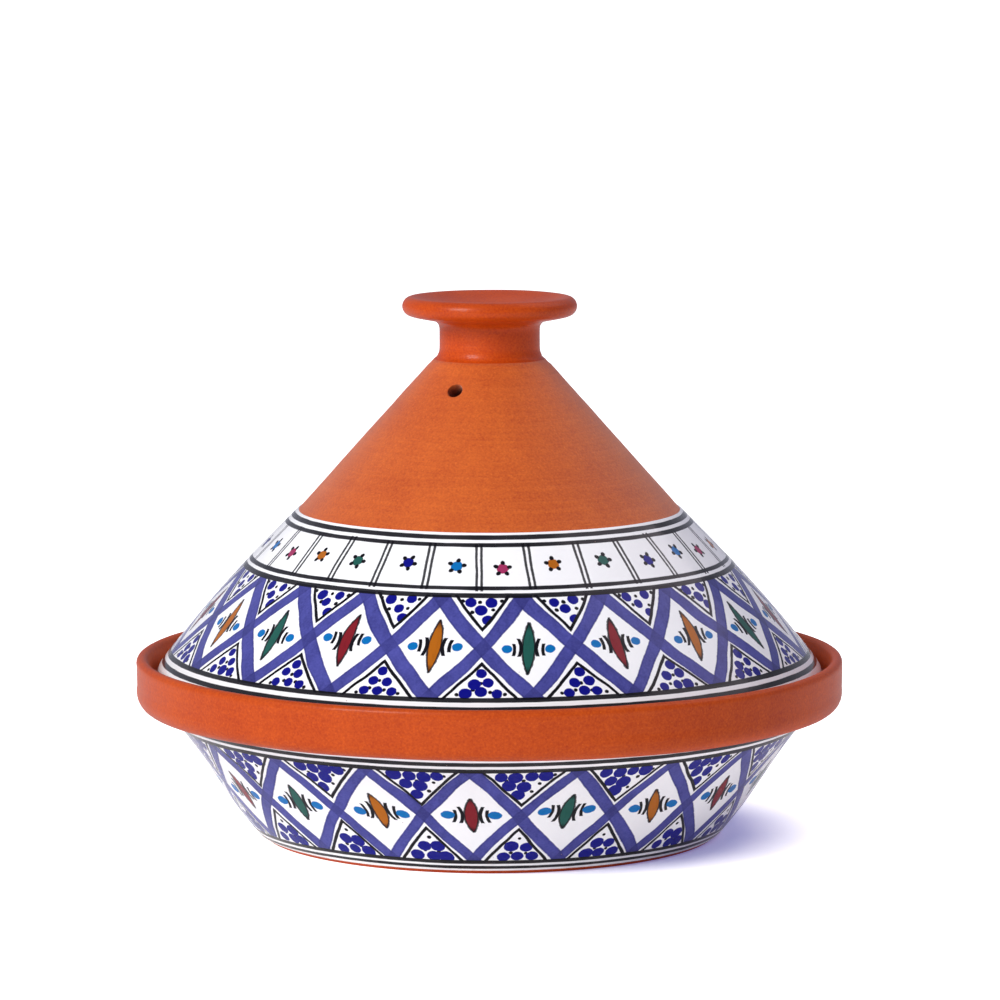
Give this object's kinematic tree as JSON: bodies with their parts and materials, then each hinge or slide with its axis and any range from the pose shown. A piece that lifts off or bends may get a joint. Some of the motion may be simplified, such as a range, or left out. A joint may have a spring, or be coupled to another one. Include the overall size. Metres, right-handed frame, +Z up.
{
  "type": "tagine pot",
  "caption": "Round earthenware tagine: a shallow dish with a raised collar, and a painted conical lid with a steam vent and a turned cup knob that lifts straight off.",
  "frame": {"origin": "on the floor, on the axis of the pot, under the middle of the foot", "axes": "+Z up along the axis of turning, -Y towards the front, +X to the right; the steam vent is left of the front"},
  "size_m": [0.315, 0.315, 0.2401],
  "materials": {
    "dish_clay": "red earthenware with a thin clear glaze on the collar, bare underneath",
    "dish_painting": "glossy white glaze hand painted in cobalt blue, black and small colours",
    "lining_glaze": "glossy clear honey glaze over the clay",
    "lid_clay": "satin red earthenware with fine turning marks",
    "lid_painting": "glossy white glaze hand painted in cobalt blue, black and small colours",
    "knob_clay": "red earthenware with a glossy clear glaze"
  },
  "bodies": {
    "dish": {"dish_body": "dish_clay", "dish_painted_glaze": "dish_painting", "dish_lining_glaze": "lining_glaze"},
    "lid": {"lid_cone": "lid_clay", "lid_painted_glaze": "lid_painting", "lid_knob": "knob_clay"}
  },
  "joints": [
    {"name": "lid_lift", "type": "slide", "parent": "dish", "child": "lid", "axis": [0, 0, 1], "range_m": [0, 0.15]}
  ]
}
